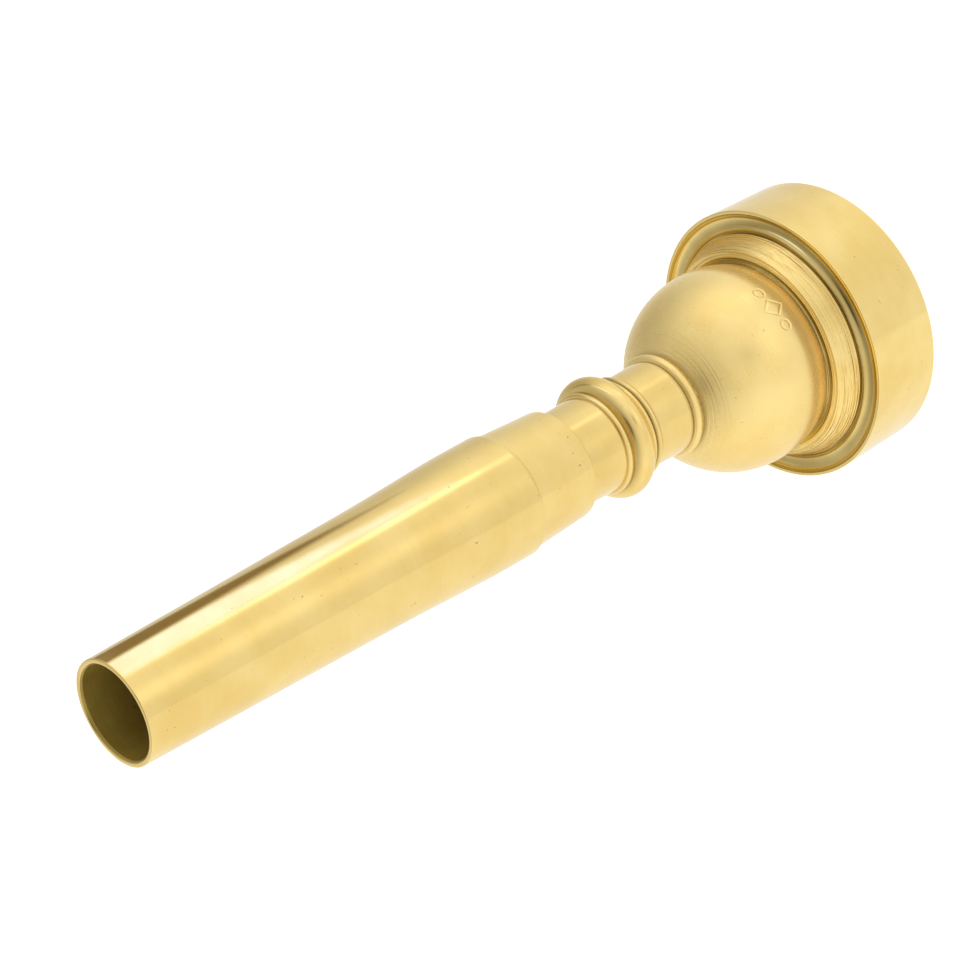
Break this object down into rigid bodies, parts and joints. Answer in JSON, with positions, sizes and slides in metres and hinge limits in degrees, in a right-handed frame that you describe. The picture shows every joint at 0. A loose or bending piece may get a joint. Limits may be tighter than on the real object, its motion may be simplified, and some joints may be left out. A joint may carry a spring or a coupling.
{
  "type": "trumpet mouthpiece",
  "caption": "Turned brass trumpet mouthpiece with a screw-off rim, round bowl cup, beaded screw-in stem and tapered shank sleeve.",
  "frame": {"origin": "centre of the rim plane, which is the bottom of the part as it stands on its rim", "axes": "+Z runs along the axis of the bore from the rim to the shank end; +X and +Y are equal, because every piece is turned about Z"},
  "size_m": [0.027, 0.027, 0.0874],
  "materials": {
    "polished_rim": "polished, lacquered yellow brass with soft broad reflections",
    "satin_cup": "satin bowl with fine tool rings, brushed ring band",
    "polished_stem": "polished turned brass with a fine lathe grain",
    "polished_shank": "mirror-polished tapered shank, brown and olive inside the bore",
    "seal": "flat off-white plastic ring"
  },
  "bodies": {
    "rim": {"rim": "polished_rim"},
    "rim_seal": {"rim_seal": "seal"},
    "cup": {"cup": "satin_cup"},
    "stem_seal": {"stem_seal": "seal"},
    "stem": {"stem": "polished_stem", "shank_sleeve": "polished_shank"}
  },
  "joints": [
    {"name": "rim_thread_rise", "type": "slide", "parent": "rim", "child": "rim_seal", "axis": [0, 0, 1], "range_m": [0, 0.00525]},
    {"name": "rim_thread_turn", "type": "hinge", "parent": "rim_seal", "child": "cup", "pos_m": [0, 0, 0.00355], "axis": [0, 0, 1], "range_deg": [0, 2525]},
    {"name": "stem_thread_rise", "type": "slide", "parent": "cup", "child": "stem_seal", "axis": [0, 0, 1], "range_m": [0, 0.0075]},
    {"name": "stem_thread_turn", "type": "hinge", "parent": "stem_seal", "child": "stem", "pos_m": [0, 0, 0.01705], "axis": [0, 0, 1], "range_deg": [0, 3605]}
  ],
  "couplings": [
    {"joint": "rim_thread_turn", "follows": "rim_thread_rise", "rad_per_m": 8377.6},
    {"joint": "stem_thread_turn", "follows": "stem_thread_rise", "rad_per_m": 8377.6}
  ]
}
